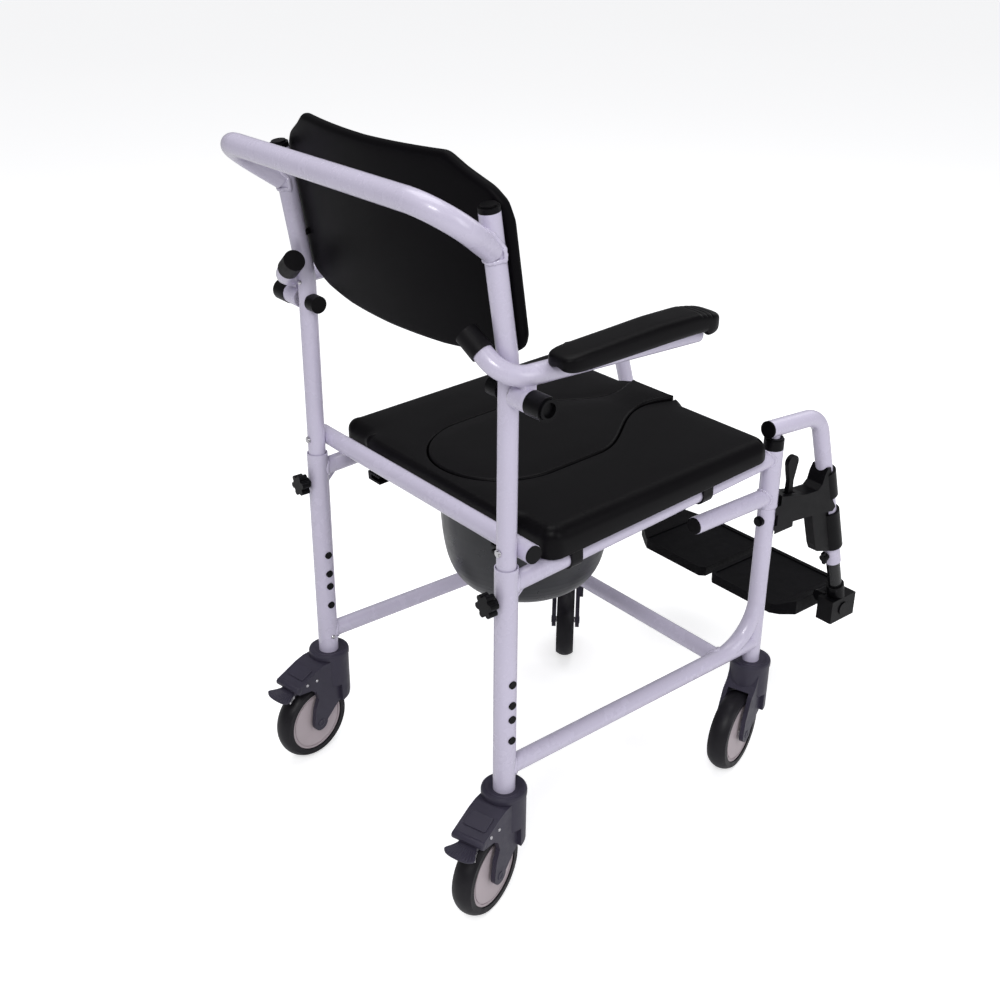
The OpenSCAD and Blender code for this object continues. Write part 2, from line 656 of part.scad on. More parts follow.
// Paddle that frees the hanger from its catch
module release_lever(s) placed() color(black) on_side(s) translate([front_x, front_y - 46, 0]) {
    rod([-3.6, 0, 432], [3.6, 0, 432], 6);
    rod([-8, 0, 432], [8, 0, 432], 2.5);
    slab_x(7.2) polygon([[-5.5, 432], [5.5, 432], [4.5, 458], [9, 476], [11, 487], [-11, 487],
        [-9, 476], [-4.5, 458]]);
    rod([-3.6, 0, 487], [3.6, 0, 487], 11.2);
}

// Height-adjusting tube that slides in the hanger tube
module footrest_tube(s) placed() color(black) on_side(s)
    rod(hanger_end - 90 * hanger_dir, stem_end, tube_r - wall - 0.35);

// Block on the tube's foot that carries the footplate's hinge pin
module footplate_pivot(s) placed() color(black) on_side(s) {
    difference() {
        union() {
            rod(stem_end - 26 * hanger_dir, stem_end + 2 * hanger_dir, 14);
            translate([plate_hinge[0] + 9, plate_hinge[1] - 24, plate_hinge[2] - 33])
                cube([29, 58, 40]);
            for (y = [-24, 18]) translate([0, y, 0]) slab_y(6) {
                translate([plate_hinge[0], plate_hinge[2]]) circle(r = 9);
                translate([plate_hinge[0], plate_hinge[2] - 9]) square([12, 18]);
            }
            rod([plate_hinge[0] + 37, plate_hinge[1] + 5, plate_hinge[2] - 13],
                [plate_hinge[0] + 40, plate_hinge[1] + 5, plate_hinge[2] - 13], 11);
        }
        rod(stem_end - 90 * hanger_dir, stem_end, tube_r - wall - 0.35);
    }
    rod([plate_hinge[0], plate_hinge[1] - 24, plate_hinge[2]],
        [plate_hinge[0], plate_hinge[1] + 24, plate_hinge[2]], 4);
}

// A plate of the given depth along Y, starting at the hinge's Y, outlined in X and Z
module slab_y(depth) translate([0, plate_hinge[1] + depth, 0]) rotate([90, 0, 0])
    linear_extrude(depth) children();

module footplate(s) placed() color(black) on_side(s) {
    inner = 7;
    fold = 148;
    rear = -617;
    front = -771;
    edge = plate_hinge[0] - 10.5;
    difference() {
        union() {
            intersection() {
                translate([0, rear, 0]) rotate([90, 0, 0]) linear_extrude(rear - front)
                    polygon([[inner, tread_z - 17], [fold + 6, tread_z - 17], [edge, tread_z - 12],
                        [edge, tread_z + 13], [fold, tread_z], [inner, tread_z]]);
                translate([0, 0, tread_z - 20]) linear_extrude(50) polygon([[inner, rear - 8],
                    [inner + 8, rear], [fold - 8, rear], [edge + 8, rear - 27], [edge + 8, front + 44],
                    [fold - 8, front], [inner + 8, front], [inner, front + 8]]);
            }
            rod([plate_hinge[0], plate_hinge[1] - 17.5, plate_hinge[2]],
                [plate_hinge[0], plate_hinge[1] + 17.5, plate_hinge[2]], 8);
            translate([edge - 2, plate_hinge[1] - 17.5, plate_hinge[2] - 8]) cube([12.5, 35, 11]);
        }
        rod([plate_hinge[0], plate_hinge[1] - 30, plate_hinge[2]],
            [plate_hinge[0], plate_hinge[1] + 30, plate_hinge[2]], 4 + running);
        // Shallow tread recess inside a raised rim
        translate([inner + 8, front + 8, tread_z - 2]) cube([fold - inner - 12, rear - front - 16, 10]);
    }
}

// Screw below the bracket that clamps the sliding tube
module height_knob(s) placed() color(black) on_side(s) {
    at = hanger_corner + 261 * hanger_dir;
    out = [0, cos(hanger_lean), -sin(hanger_lean)];
    along(at + tube_r * out, out) {
        translate([0, 0, 0.4]) cylinder(h = 3.6, r = 5.5);
        translate([0, 0, 4]) {
            cylinder(h = 6.5, r = 6.5);
            translate([-10.5, -2.5, 0]) cube([21, 5, 6.5]);
        }
    }
}

// ---------- nodes ----------

side_frame(left);  // side_frame_left
side_frame(right);  // side_frame_right
frame_crossbars();
frame_plugs();
hanger_bushes();
hanger_catch_bolts();
seat_pad();
seat_clips();
pan_rails();
caster_collars();
caster_stems();
seat_insert();
commode_pan();
back_posts();
push_bar();
back_pad();
back_bolts();
back_caps();
arm_tube(left);  // arm_tube_left
arm_tube(right);  // arm_tube_right
arm_pad(left);  // arm_pad_left
arm_pad(right);  // arm_pad_right
arm_hub_cap(left);  // arm_hub_cap_left
arm_hub_cap(right);  // arm_hub_cap_right
arm_stop(left);  // arm_stop_left
arm_stop(right);  // arm_stop_right
star_knob(left);  // star_knob_left
star_knob(right);  // star_knob_right
fork(rear_left, true);  // fork_rear_left
fork(rear_right, true);  // fork_rear_right
fork(front_left, false);  // fork_front_left
fork(front_right, false);  // fork_front_right
tyre(rear_left);  // tyre_rear_left
tyre(rear_right);  // tyre_rear_right
tyre(front_left);  // tyre_front_left
tyre(front_right);  // tyre_front_right
wheel_hub(rear_left);  // wheel_hub_rear_left
wheel_hub(rear_right);  // wheel_hub_rear_right
wheel_hub(front_left);  // wheel_hub_front_left
wheel_hub(front_right);  // wheel_hub_front_right
axle(rear_left);  // axle_rear_left
axle(rear_right);  // axle_rear_right
axle(front_left);  // axle_front_left
axle(front_right);  // axle_front_right
brake_pedal(rear_left);  // brake_pedal_left
brake_pedal(rear_right);  // brake_pedal_right
hanger_tube(left);  // hanger_tube_left
hanger_tube(right);  // hanger_tube_right
hanger_bracket(left);  // hanger_bracket_left
hanger_bracket(right);  // hanger_bracket_right
release_lever(left);  // release_lever_left
release_lever(right);  // release_lever_right
footrest_tube(left);  // footrest_tube_left
footrest_tube(right);  // footrest_tube_right
footplate_pivot(left);  // footplate_pivot_left
footplate_pivot(right);  // footplate_pivot_right
footplate(left);  // footplate_left
footplate(right);  // footplate_right
height_knob(left);  // height_knob_left
height_knob(right);  // height_knob_right
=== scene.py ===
import math

import bpy
import bmesh
import numpy as np
from mathutils import Matrix, Vector
from mathutils.geometry import delaunay_2d_cdt


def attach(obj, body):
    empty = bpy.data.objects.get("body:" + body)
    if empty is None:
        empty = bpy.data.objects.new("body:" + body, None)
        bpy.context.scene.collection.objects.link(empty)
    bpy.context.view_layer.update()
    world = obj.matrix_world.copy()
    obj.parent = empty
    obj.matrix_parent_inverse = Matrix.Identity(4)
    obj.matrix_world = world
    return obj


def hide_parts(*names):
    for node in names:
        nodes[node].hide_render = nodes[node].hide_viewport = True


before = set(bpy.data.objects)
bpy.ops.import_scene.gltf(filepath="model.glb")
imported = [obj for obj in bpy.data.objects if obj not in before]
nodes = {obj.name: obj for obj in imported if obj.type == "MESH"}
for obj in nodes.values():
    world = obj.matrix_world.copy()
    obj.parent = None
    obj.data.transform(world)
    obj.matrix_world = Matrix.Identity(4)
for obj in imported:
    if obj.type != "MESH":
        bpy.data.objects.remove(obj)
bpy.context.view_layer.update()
MM = 0.001

# ---------- the chair's own dimensions, in millimetres, as the CAD states them ----------
REAR_Y = 321.0
HALF_TRACK = 215.0
FRONT_X = 210.0
FRONT_Y = -492.0
SEAT_TILT = 3.8
SEAT_RAIL_Z = 476.0
TUBE_R = 12.5
LEG_R = 15.0
SLEEVE_R = 14.5                  # upper part of the front legs
POST_BEND_Z = 763.0
BACK_LEAN = 9.2
BACK_R = 860.0                   # the back cushion's curve, and where its rear surface stands
BACK_Y = 13.0
ARM_TUBE_Z = 756.0
LOW_RAIL_Z = 201.0
STUB_Z = 447.0
WHEEL_R = 63.0
TRAIL = 44.0
# Each caster's place and its angle at rest
CASTERS = {"rear_left": (HALF_TRACK, 0, 10), "rear_right": (-HALF_TRACK, 0, 18),
           "front_left": (FRONT_X, FRONT_Y, 47), "front_right": (-FRONT_X, FRONT_Y, 17)}
SIDES = (("left", 1), ("right", -1))


def turned(degrees, axis):
    return Matrix.Rotation(math.radians(degrees), 4, axis)


def seat_z(y):
    """Height of the seat rails' axes at y."""
    return SEAT_RAIL_Z - y * math.tan(math.radians(SEAT_TILT))


# From millimetres measured at the rear legs, the seat's base, and the back posts' bend, to the shared frame
PLACE = Matrix.Scale(MM, 4) @ Matrix.Translation((0, REAR_Y, 0))
ON_SEAT = PLACE @ Matrix.Translation((0, 0, SEAT_RAIL_Z + TUBE_R / math.cos(math.radians(SEAT_TILT)))) \
    @ turned(-SEAT_TILT, "X")
ON_BACK = PLACE @ Matrix.Translation((0, 0, POST_BEND_Z)) @ turned(-BACK_LEAN, "X")


def at_caster(name):
    """A frame under a caster's stem, turned as the caster stands at rest."""
    x, y, a = CASTERS[name]
    return PLACE @ Matrix.Translation((x, y, 0)) @ turned(a, "Z")


# ---------- materials ----------

def material(name, color, rough, metallic=0.0, coat=0.0, vary=0.12, vary_scale=9.0, rough_vary=0.08,
             grain=(900.0, 0.00012), cells=None, scuff=None, specular=0.5):
    """A procedural finish: slow colour variation, fine grain, optional leather cells and scuffs.
    grain and cells are (scale, depth in metres); scuff is (scale, threshold, colour)."""
    m = bpy.data.materials.new(name)
    m.use_nodes = True
    nt = m.node_tree
    n, l = nt.nodes, nt.links
    bsdf = n["Principled BSDF"]
    bsdf.inputs["Metallic"].default_value = metallic
    bsdf.inputs["Coat Weight"].default_value = coat
    bsdf.inputs["Coat Roughness"].default_value = 0.12
    bsdf.inputs["Specular IOR Level"].default_value = specular
    tc = n.new("ShaderNodeTexCoord")

    def noise(scale, detail, rough_=0.5):
        t = n.new("ShaderNodeTexNoise")
        t.inputs["Scale"].default_value = scale
        t.inputs["Detail"].default_value = detail
        t.inputs["Roughness"].default_value = rough_
        l.new(tc.outputs["Object"], t.inputs["Vector"])
        return t.outputs["Fac"]

    def ramp(src, stops):
        r = n.new("ShaderNodeValToRGB")
        while len(r.color_ramp.elements) < len(stops):
            r.color_ramp.elements.new(0.5)
        for e, (p, c) in zip(r.color_ramp.elements, stops):
            e.position = p
            e.color = c if len(c) == 4 else (*c, 1)
        l.new(src, r.inputs["Fac"])
        return r.outputs["Color"]

    def scaled(k):
        return tuple(min(1.0, c * k) for c in color)

    def mix(fac, a, b):
        x = n.new("ShaderNodeMix")
        x.data_type = "RGBA"
        l.new(fac, x.inputs["Factor"])
        for sock, v in ((x.inputs[6], a), (x.inputs[7], b)):
            if isinstance(v, tuple):
                sock.default_value = (*v, 1)
            else:
                l.new(v, sock)
        return x.outputs[2]

    base = ramp(noise(vary_scale, 4), [(0.3, scaled(1 - vary)), (0.7, scaled(1 + vary))])
    rough_mix = ramp(noise(vary_scale * 4.3, 5, 0.6),
                     [(0.3, (max(0.02, rough - rough_vary),) * 3), (0.72, (min(1, rough + rough_vary),) * 3)])
    height = None

    def bump(src, distance, strength, before):
        b = n.new("ShaderNodeBump")
        b.inputs["Distance"].default_value = distance
        b.inputs["Strength"].default_value = strength
        l.new(src, b.inputs["Height"])
        if before is not None:
            l.new(before, b.inputs["Normal"])
        return b.outputs["Normal"]

    if cells:
        v = n.new("ShaderNodeTexVoronoi")
        v.feature = "DISTANCE_TO_EDGE"
        v.inputs["Scale"].default_value = cells[0]
        l.new(tc.outputs["Object"], v.inputs["Vector"])
        crease = ramp(v.outputs["Distance"], [(0.0, (0, 0, 0)), (0.22, (1, 1, 1))])
        height = bump(crease, cells[1], 0.6, height)
    if grain:
        height = bump(noise(grain[0], 3, 0.55), grain[1], 0.8, height)
    if scuff:
        # Sparse worn spots and fine scratches
        spots = ramp(noise(scuff[0], 8, 0.68), [(scuff[1], (0, 0, 0)), (scuff[1] + 0.05, (1, 1, 1))])
        base = mix(spots, base, scuff[2])
        w = n.new("ShaderNodeTexWave")
        w.wave_type = "BANDS"
        w.inputs["Scale"].default_value = 11
        w.inputs["Distortion"].default_value = 46
        w.inputs["Detail"].default_value = 6
        w.inputs["Detail Scale"].default_value = 3.2
        l.new(tc.outputs["Object"], w.inputs["Vector"])
        lines = ramp(w.outputs["Fac"], [(0.0, (1, 1, 1)), (0.012, (0, 0, 0))])
        rough_mix = mix(lines, rough_mix, (min(1, rough + 0.08),) * 3)
    l.new(base, bsdf.inputs["Base Color"])
    l.new(rough_mix, bsdf.inputs["Roughness"])
    if height is not None:
        l.new(height, bsdf.inputs["Normal"])
    return m


paint = material("frame_paint", (0.60, 0.56, 0.70), 0.27, coat=0.4, vary=0.03, vary_scale=7,
                 rough_vary=0.02, grain=(420, 0.000008), scuff=(26, 0.79, (0.42, 0.39, 0.46)))
weld_paint = material("frame_paint_weld", (0.60, 0.56, 0.70), 0.22, coat=0.6, vary=0.05, vary_scale=60,
                      grain=(300, 0.0001))
skin = material("pad_skin", (0.0032, 0.0028, 0.0036), 0.38, vary=0.15, vary_scale=5, rough_vary=0.025,
                grain=(1500, 0.00005), cells=(620, 0.00006), specular=0.10)
skin_back = material("pad_skin_back", (0.0032, 0.0028, 0.0036), 0.44, vary=0.15, vary_scale=4, rough_vary=0.025,
                     grain=(1500, 0.00006), cells=(520, 0.00008), specular=0.045)
black = material("black_plastic", (0.0036, 0.0034, 0.0042), 0.36, vary=0.2, vary_scale=14, rough_vary=0.07,
                 grain=(1300, 0.00012), specular=0.12)
rubber = material("rubber_sleeve", (0.006, 0.0055, 0.0065), 0.5, vary=0.2, vary_scale=20, grain=(1100, 0.0001),
                  specular=0.16)
tyre_rubber = material("tyre_rubber", (0.0105, 0.0095, 0.0125), 0.42, vary=0.12, vary_scale=18, rough_vary=0.1,
                       grain=(800, 0.0001), specular=0.25)
hub_plastic = material("hub_plastic", (0.50, 0.43, 0.455), 0.42, vary=0.05, vary_scale=16, grain=(1000, 0.00008))
slate = material("caster_plastic", (0.036, 0.032, 0.052), 0.40, vary=0.10, vary_scale=16, rough_vary=0.08,
                 grain=(1200, 0.0001), specular=0.35)
steel = material("zinc_steel", (0.62, 0.61, 0.63), 0.28, metallic=1.0, vary=0.08, vary_scale=60,
                 rough_vary=0.12, grain=(700, 0.00005))
black_tube = material("black_tube", (0.006, 0.006, 0.007), 0.3, coat=0.3, vary=0.15, vary_scale=16,
                      grain=(500, 0.00004), specular=0.3)
pan_plastic = material("pan_plastic", (0.028, 0.029, 0.033), 0.32, vary=0.07, vary_scale=8, rough_vary=0.08,
                       grain=(700, 0.00007), specular=0.4)
plate_plastic = material("footplate_plastic", (0.0034, 0.0031, 0.0042), 0.48, vary=0.12, vary_scale=12,
                         rough_vary=0.08, grain=(1000, 0.0001), cells=(900, 0.00012), specular=0.08)

LOOKS = (("side_frame", paint), ("frame_crossbars", paint), ("back_posts", paint), ("push_bar", paint),
         ("arm_tube", paint), ("hanger_tube", paint), ("tyre", tyre_rubber), ("wheel_hub", hub_plastic),
         ("fork", slate), ("caster_collars", slate), ("brake_pedal", slate), ("axle", steel),
         ("caster_stems", steel), ("back_bolts", steel), ("footrest_tube", black_tube),
         ("commode_pan", pan_plastic), ("footplate_left", plate_plastic), ("footplate_right", plate_plastic),
         ("arm_stop", rubber), ("seat_pad", skin), ("seat_insert", skin), ("back_pad", skin_back),
         ("arm_pad", skin))
# Width in millimetres of the small rounding that moulded and painted edges have
ROUNDING = (("fork", 1.6), ("caster_collars", 0.9), ("brake_pedal", 0.9), ("wheel_hub", 0.8),
            ("hanger_bracket", 2.0), ("release_lever", 1.6), ("footplate_pivot", 1.6), ("height_knob", 0.9),
            ("star_knob", 1.1), ("seat_clips", 1.0), ("pan_rails", 1.2), ("arm_hub_cap", 1.8), ("arm_stop", 3.0),
            ("back_caps", 1.0), ("frame_plugs", 0.7), ("hanger_bushes", 0.7), ("hanger_catch_bolts", 0.9),
            ("back_bolts", 0.5), ("footplate", 1.8), ("side_frame", 0.35), ("back_posts", 0.35),
            ("hanger_tube", 0.35), ("arm_tube", 0.35), ("push_bar", 0.35), ("frame_crossbars", 0.35))


def soften(o, width, segments=3):
    b = o.modifiers.new("rounding", "BEVEL")
    b.width = width * MM
    b.segments = segments
    b.limit_method = "ANGLE"
    b.angle_limit = math.radians(34)
    b.use_clamp_overlap = True
    w = o.modifiers.new("normals", "WEIGHTED_NORMAL")
    w.keep_sharp = False


for name, o in nodes.items():
    look = next((m for k, m in LOOKS if name.startswith(k)), black)
    o.data.materials.clear()
    o.data.materials.append(look)
    for poly in o.data.polygons:
        poly.use_smooth = True
    width = next((w for k, w in ROUNDING if name.startswith(k)), None)
    if width:
        soften(o, width)


# ---------- mesh helpers ----------

def new_piece(name, verts, faces, mat, body, smooth=True, weld=1e-6):
    me = bpy.data.meshes.new(name)
    me.from_pydata([tuple(v) for v in verts], [], [tuple(f) for f in faces])
    bm = bmesh.new()
    bm.from_mesh(me)
    bmesh.ops.remove_doubles(bm, verts=bm.verts, dist=weld)
    bmesh.ops.recalc_face_normals(bm, faces=bm.faces)
    bm.to_mesh(me)
    bm.free()
    o = bpy.data.objects.new(name, me)
    bpy.context.scene.collection.objects.link(o)
    for poly in me.polygons:
        poly.use_smooth = smooth
    me.materials.append(mat)
    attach(o, body)
    return o


def loft(rings, closed_ends=True):
    """Quads between equal-length closed rings, with a fan at each end."""
    n = len(rings[0])
    verts = [tuple(p) for r in rings for p in r]
    faces = [(k * n + i, k * n + (i + 1) % n, (k + 1) * n + (i + 1) % n, (k + 1) * n + i)
             for k in range(len(rings) - 1) for i in range(n)]
    if closed_ends:
        for k in (0, len(rings) - 1):
            c = len(verts)
            verts.append(tuple(np.mean(np.array(rings[k]), axis=0)))
            faces += [(k * n + i, k * n + (i + 1) % n, c) for i in range(n)]
    return verts, faces


def moved(verts, matrix):
    return [tuple(matrix @ Vector(v)) for v in verts]


def filleted(corners, step=5.0):
    """A closed outline from corners (x, y, radius), sampled about every step."""
    out = []
    n = len(corners)
    for i in range(n):
        p = np.array(corners[i][:2], float)
        a = np.array(corners[i - 1][:2], float) - p
        b = np.array(corners[(i + 1) % n][:2], float) - p
        la, lb = np.linalg.norm(a), np.linalg.norm(b)
        a, b = a / la, b / lb
        r = corners[i][2]
        turn = math.pi - math.acos(max(-1, min(1, float(a @ b))))
        t = r * math.tan(turn / 2)
        t = min(t, 0.49 * la, 0.49 * lb)
        if turn < 0.02 or r <= 0:
            out.append(p)
            continue
        r = t / math.tan(turn / 2)
        bis = (a + b) / np.linalg.norm(a + b)
        centre = p + bis * (r / math.cos(turn / 2))
        s, e = p + a * t - centre, p + b * t - centre
        steps = max(3, int(turn * r / 2.5))
        for k in range(steps + 1):
            f = k / steps
            v = s * math.sin((1 - f) * turn) + e * math.sin(f * turn)
            out.append(centre + v / math.sin(turn))
    P = np.array(out)
    return resampled(P, step)


def resampled(P, step):
    closed = np.vstack([P, P[:1]])
    seg = np.linalg.norm(np.diff(closed, axis=0), axis=1)
    s = np.concatenate([[0], np.cumsum(seg)])
    n = int(s[-1] / step)
    t = np.linspace(0, s[-1], n, endpoint=False)
    return np.stack([np.interp(t, s, closed[:, 0]), np.interp(t, s, closed[:, 1])], 1)


def filled(edge, height, grid, lift, reach):
    """A smooth cap inside a closed edge ring: triangles on a regular grid, raised like a padded skin."""
    n = len(edge)
    flat = [Vector((p[0], p[1])) for p in edge]
    E = np.array([[p[0], p[1]] for p in edge])
    lo, hi = E.min(0), E.max(0)
    inside = []
    for gy in np.arange(lo[1] + grid * 0.5, hi[1], grid * 0.866):
        shift = grid * 0.5 * (round((gy - lo[1]) / (grid * 0.866)) % 2)
        crossings = []
        for i in range(n):
            p, q = E[i], E[(i + 1) % n]
            if (p[1] > gy) != (q[1] > gy):
                crossings.append(p[0] + (gy - p[1]) / (q[1] - p[1]) * (q[0] - p[0]))
        crossings.sort()
        for gx in np.arange(lo[0] + shift, hi[0], grid):
            if sum(c < gx for c in crossings) % 2 and np.min(np.hypot(E[:, 0] - gx, E[:, 1] - gy)) > grid * 0.62:
                inside.append(Vector((gx, gy)))
    ring = [(i, (i + 1) % n) for i in range(n)]
    verts, _, tris, source, _, _ = delaunay_2d_cdt(flat + inside, ring, [], 1, 1e-5)
    # Height above the edge: a skin over foam, which levels off within reach of the edge
    h = np.zeros(len(verts))
    pairs = set()
    for t in tris:
        for i in range(3):
            pairs.add((min(t[i], t[i - 1]), max(t[i], t[i - 1])))
    pairs = np.array(sorted(pairs))
    free = np.array([all(j >= n for j in src) for src in source])
    degree = np.bincount(pairs.ravel(), minlength=len(verts)).astype(float)
    k = 1.5 * (grid / reach) ** 2
    for _ in range(260):
        total = np.bincount(pairs[:, 0], h[pairs[:, 1]], len(verts)) + \
            np.bincount(pairs[:, 1], h[pairs[:, 0]], len(verts))
        h = np.where(free, (total / np.maximum(degree, 1) + k * lift) / (1 + k), 0.0)
    points = [(v.x, v.y, height(v.x, v.y) + h[i]) for i, v in enumerate(verts)]
    return points, [tuple(t) for t in tris]


def pad_surface(P, top, bottom, r_top, r_bot, crown=0.0, reach=30.0, bulge=0.0, grid=8.0):
    """A moulded pad: rounded edges, a wall, and a padded cap above and below.
    top and bottom are heights at x and y; r_top and r_bot are roundings, numbers or one per point."""
    n = len(P)
    if np.sum(P[:, 0] * np.roll(P[:, 1], -1) - P[:, 1] * np.roll(P[:, 0], -1)) < 0:
        P = P[::-1].copy()
        r_top = r_top[::-1].copy() if isinstance(r_top, np.ndarray) else r_top
    t = np.roll(P, -1, 0) - np.roll(P, 1, 0)
    t /= np.linalg.norm(t, axis=1)[:, None]
    N = np.stack([-t[:, 1], t[:, 0]], 1)
    d = P[None, :, :] - P[:, None, :]
    along = np.einsum("ijk,ik->ij", d, N)
    dist2 = np.sum(d * d, axis=2)
    ball = np.where(along > 0.05, dist2 / np.maximum(2 * along, 1e-9), 1e9).min(axis=1)
    ball = np.minimum(ball, 400)
    for _ in range(2):
        ball = np.minimum(ball, (np.roll(ball, 1) + ball + np.roll(ball, -1)) / 3)
    rt = np.minimum(np.broadcast_to(np.asarray(r_top, float), (n,)), 0.8 * ball)
    rb = np.minimum(np.broadcast_to(np.asarray(r_bot, float), (n,)), 0.8 * ball)
    rings = []

    def ring(inset, height):
        q = P + N * inset[:, None]
        rings.append([(q[i, 0], q[i, 1], height(i, q[i, 0], q[i, 1])) for i in range(n)])

    for k in range(7):
        a = math.pi / 2 * k / 6
        ring(rb * (1 - math.sin(a)), lambda i, x, y: bottom(x, y) + rb[i] * (1 - math.cos(a)))
    if bulge:
        rings.append([(p[0] - N[i, 0] * bulge, p[1] - N[i, 1] * bulge,
                       (bottom(p[0], p[1]) + rb[i] + top(p[0], p[1]) - rt[i]) / 2) for i, p in enumerate(P)])
    for k in range(11):
        a = math.pi / 2 * k / 10
        ring(rt * (1 - math.cos(a)), lambda i, x, y: top(x, y) - rt[i] * (1 - math.sin(a)))
    verts, faces = loft(rings, closed_ends=False)
    for edge, height, lift in ((rings[0], bottom, 0.0), (rings[-1], top, crown)):
        points, tris = filled(edge, height, grid, lift, reach)
        faces += [tuple(len(verts) + i for i in t) for t in tris]
        verts += points
    return verts, faces


def pad_piece(name, P, matrix, mat, body, slot, bend=None, **shape):
    verts, faces = pad_surface(P, **shape)
    if bend:
        verts = [bend(v) for v in verts]
    return new_piece(name, moved(verts, matrix), faces, mat, body, weld=2e-5)


# ---------- seat ----------

SEAT_FRONT = -466.0
SEAT_T = 44.5
SEAT_DISH = 1.4
GROOVE = 0.7                     # the seat and its insert each stand back from the keyhole's line by this
# The keyhole: a round opening, a neck towards the front, and a slight flare at the seat's front edge
OPENING_R = 104.0
OPENING_Y = -172
NECK_FROM, NECK_TO, NECK_HALF = -255, -415, 30
MOUTH_LONG, MOUTH_FLARE = 55, 7


def keyhole_half(y):
    if y > OPENING_Y:
        return math.sqrt(max(0.0, OPENING_R ** 2 - (y - OPENING_Y) ** 2))
    if y > NECK_FROM:
        return OPENING_R
    if y > NECK_TO:
        f = (NECK_FROM - y) / (NECK_FROM - NECK_TO)
        return NECK_HALF + (OPENING_R - NECK_HALF) * (1 + math.cos(math.pi * f)) / 2
    return NECK_HALF + MOUTH_FLARE * (1 - math.cos(math.pi * min(1, (NECK_TO - y) / MOUTH_LONG)))


def keyhole_side(gap):
    """Right-hand side of the keyhole from its rear end to the seat's front, drawn out by gap."""
    r = OPENING_R + gap
    pts = [(r * math.sin(math.radians(a)), OPENING_Y + r * math.cos(math.radians(a)))
           for a in np.arange(0, 90, 1.5)]
    pts += [(keyhole_half(y) + gap, y) for y in range(OPENING_Y, int(SEAT_FRONT) - 1, -2)]
    return pts


def seat_top(x, y):
    """The seat's top slopes down a little more than its rails do towards the back."""
    return SEAT_T + y * math.tan(math.radians(SEAT_DISH))


# Half the seat's outline, from the keyhole's rear round the mouth to the rear edge: x, y and corner radius
side = keyhole_side(GROOVE)
front_x = side[-1][0]
half_outline = [(x, y, 0) for x, y in side if y > SEAT_FRONT + 4] + [
    (front_x, SEAT_FRONT, 8), (232, SEAT_FRONT, 26), (232, -57, 22), (172, -58, 12), (156, -48, 12)]
outline = half_outline + [(-x, y, r) for x, y, r in half_outline[::-1] if x > 0.01]
seat_outline = filleted(outline, 4.0)
inner_edge = np.array([math.hypot(p[0], p[1] - OPENING_Y) < OPENING_R + 3 if p[1] > OPENING_Y else
                       abs(p[0]) < keyhole_half(p[1]) + 3 and p[1] > SEAT_FRONT + 2 for p in seat_outline])
# Roundings: tight along the groove, generous outside, less at the middle of the rear edge
edge_r = np.where(inner_edge, 4.0, 20.0)
for i, p in enumerate(seat_outline):
    if p[1] > -60 and not inner_edge[i]:
        edge_r[i] = 9.0 if abs(p[0]) < 150 else 20.0
for _ in range(6):
    edge_r = (np.roll(edge_r, 1) + edge_r * 2 + np.roll(edge_r, -1)) / 4
seat = pad_piece("seat_cushion", seat_outline, ON_SEAT, skin, "frame", "pad_skin", top=seat_top,
                 bottom=lambda x, y: 0.2, r_top=edge_r, r_bot=3.0, crown=1.6, reach=26, bulge=0.5)
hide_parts("seat_pad")
pad_piece("seat_base", filleted([(193, -427, 12), (193, -52, 12), (-193, -52, 12), (-193, -427, 12)], 6.0),
          ON_SEAT, black, "frame", "black_plastic", top=lambda x, y: 0.4, bottom=lambda x, y: -10,
          r_top=0.5, r_bot=2.5)

insert_half = keyhole_side(-GROOVE)
insert_corners = [(x, y, 0) for x, y in insert_half if y > SEAT_FRONT + 6]
insert_corners += [(insert_half[-1][0] + 0.5, SEAT_FRONT + 1, 7)]
insert_outline = insert_corners + [(-x, y, r) for x, y, r in insert_corners[::-1] if x > 0.01]


def insert_top(x, y):
    """The insert stands a little proud, and more so at its tongue."""
    f = min(1.0, max(0.0, (-385 - y) / 60))
    return seat_top(x, y) + 1.2 + 3.6 * f * f * (3 - 2 * f)


insert = pad_piece("seat_cover", filleted(insert_outline, 4.0), ON_SEAT, skin, "seat_cover", "pad_skin",
                   top=insert_top, bottom=lambda x, y: -3.5, r_top=4.5, r_bot=3.0,
                   crown=2.0, reach=30)
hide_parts("seat_insert")

# ---------- backrest ----------
# Half the cushion's outline, laid flat: x, height and corner radius
BACK_HALF = [(0, -9, 0), (100, -8, 60), (165, -4, 60), (208, 4, 30), (221, 12, 14), (226, 26, 20), (226, 160, 30),
             (220, 182, 20), (205, 197, 40), (170, 215, 60), (146, 230, 24), (0, 228, 0)]


def arc_x(x):
    """Length along the cushion's curve at x."""
    return BACK_R * math.asin(x / BACK_R)


back_corners = [(arc_x(x), u, r) for x, u, r in BACK_HALF]
back_outline = back_corners + [(-x, u, r) for x, u, r in back_corners[-2:0:-1]]


def bend_back(v):
    """Bends the flat cushion round the back's curve."""
    a, u, w = v
    r = BACK_R - w
    return (r * math.sin(a / BACK_R), BACK_Y - BACK_R + r * math.cos(a / BACK_R), u)


back = pad_piece("back_cushion", filleted(back_outline, 5.0), ON_BACK, skin_back, "back_frame", "pad_skin",
                 bend=bend_back, top=lambda x, y: 16.0, bottom=lambda x, y: 0.0, r_top=8.5, r_bot=7.0,
                 crown=10.5, reach=48)
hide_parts("back_pad")


def lathe(name, profile, matrix, mat, body, segments=32):
    """A turned piece: profile is (radius, height) pairs, its axis along the matrix's Z."""
    rings = [[(r * math.cos(2 * math.pi * k / segments), r * math.sin(2 * math.pi * k / segments), z)
              for k in range(segments)] for r, z in profile]
    verts, faces = loft(rings)
    return new_piece(name, moved(verts, matrix), faces, mat, body)


